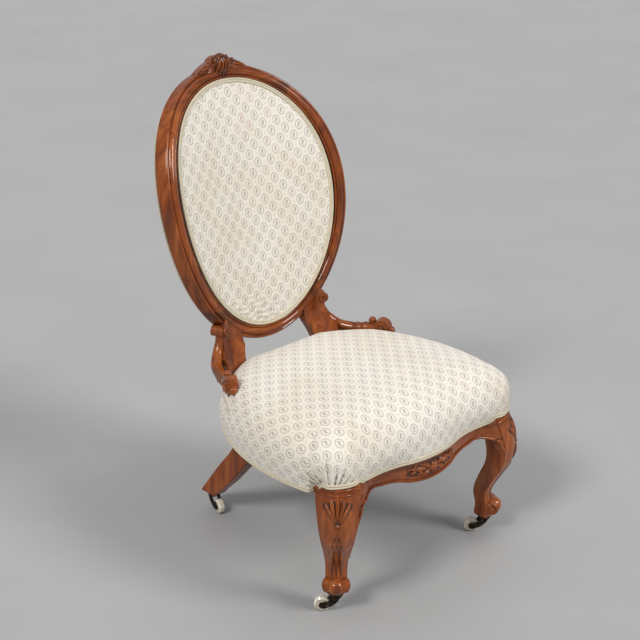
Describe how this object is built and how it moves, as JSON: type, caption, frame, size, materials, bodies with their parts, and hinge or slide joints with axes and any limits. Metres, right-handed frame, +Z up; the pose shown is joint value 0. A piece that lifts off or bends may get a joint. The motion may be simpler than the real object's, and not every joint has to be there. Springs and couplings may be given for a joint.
{
  "type": "upholstered side chair",
  "caption": "Low upholstered drawing-room chair with an oval moulded wood back, scrolled half arms, sprung seat, cabriole front legs and casters.",
  "frame": {"origin": "on the floor, on the plane of symmetry, near the middle of the four caster pivots", "axes": "+Z up, -Y the way the sitter faces, +X to the right of someone facing the chair"},
  "size_m": [0.5614, 0.6447, 0.9328],
  "materials": {
    "walnut": "French-polished reddish walnut, worn at the arrises",
    "beech": "plain sawn beech, unpolished, hidden by the upholstery",
    "cover_cloth": "cream woven cloth with small grey oval medallions",
    "hessian": "natural jute webbing and hessian",
    "bottoming": "black cotton bottoming cloth",
    "spring_steel": "coppered steel spring wire",
    "caster_metal": "blackened iron and old brass",
    "porcelain": "white glazed porcelain, slightly stained"
  },
  "bodies": {
    "frame": {"back_frame_dowels": "beech", "back_left_leg": "walnut", "back_pad": "cover_cloth", "back_rail": "beech", "back_right_leg": "walnut", "back_webbing": "hessian", "bottoming_cloth": "bottoming", "caster_pivots": "caster_metal", "caster_plates": "caster_metal", "corner_blocks": "beech", "crest_carving": "walnut", "crest_rail": "walnut", "front_left_leg": "walnut", "front_rail": "walnut", "front_right_leg": "walnut", "left_arm": "walnut", "left_back_stile": "walnut", "left_back_support": "walnut", "left_side_rail": "beech", "lower_back_rail": "walnut", "outside_back_cover": "cover_cloth", "right_arm": "walnut", "right_back_stile": "walnut", "right_back_support": "walnut", "right_side_rail": "beech", "seat_cushion": "cover_cloth", "seat_springs": "spring_steel", "seat_webbing": "hessian", "spring_hessian": "hessian"},
    "front_left_swivel": {"front_left_caster_horn": "caster_metal", "front_left_caster_axle": "caster_metal"},
    "front_left_wheel": {"front_left_caster_wheel": "porcelain"},
    "front_right_swivel": {"front_right_caster_horn": "caster_metal", "front_right_caster_axle": "caster_metal"},
    "front_right_wheel": {"front_right_caster_wheel": "porcelain"},
    "back_left_swivel": {"back_left_caster_horn": "caster_metal", "back_left_caster_axle": "caster_metal"},
    "back_left_wheel": {"back_left_caster_wheel": "porcelain"},
    "back_right_swivel": {"back_right_caster_horn": "caster_metal", "back_right_caster_axle": "caster_metal"},
    "back_right_wheel": {"back_right_caster_wheel": "porcelain"}
  },
  "joints": [
    {"name": "front_left_swivel_turn", "type": "hinge", "parent": "frame", "child": "front_left_swivel", "pos_m": [-0.215, -0.231, 0.034], "axis": [0, 0, 1], "continuous": true},
    {"name": "front_left_wheel_spin", "type": "hinge", "parent": "front_left_swivel", "child": "front_left_wheel", "pos_m": [-0.2337, -0.21294, 0.015], "axis": [-0.6947, -0.7193, 0], "continuous": true},
    {"name": "front_right_swivel_turn", "type": "hinge", "parent": "frame", "child": "front_right_swivel", "pos_m": [0.215, -0.231, 0.034], "axis": [0, 0, 1], "continuous": true},
    {"name": "front_right_wheel_spin", "type": "hinge", "parent": "front_right_swivel", "child": "front_right_wheel", "pos_m": [0.1963, -0.21294, 0.015], "axis": [-0.6947, -0.7193, 0], "continuous": true},
    {"name": "back_left_swivel_turn", "type": "hinge", "parent": "frame", "child": "back_left_swivel", "pos_m": [-0.128, 0.222, 0.034], "axis": [0, 0, 1], "continuous": true},
    {"name": "back_left_wheel_spin", "type": "hinge", "parent": "back_left_swivel", "child": "back_left_wheel", "pos_m": [-0.13429, 0.19677, 0.015], "axis": [0.9703, -0.2419, 0], "continuous": true},
    {"name": "back_right_swivel_turn", "type": "hinge", "parent": "frame", "child": "back_right_swivel", "pos_m": [0.128, 0.222, 0.034], "axis": [0, 0, 1], "continuous": true},
    {"name": "back_right_wheel_spin", "type": "hinge", "parent": "back_right_swivel", "child": "back_right_wheel", "pos_m": [0.10357, 0.21311, 0.015], "axis": [0.342, -0.9397, 0], "continuous": true}
  ]
}
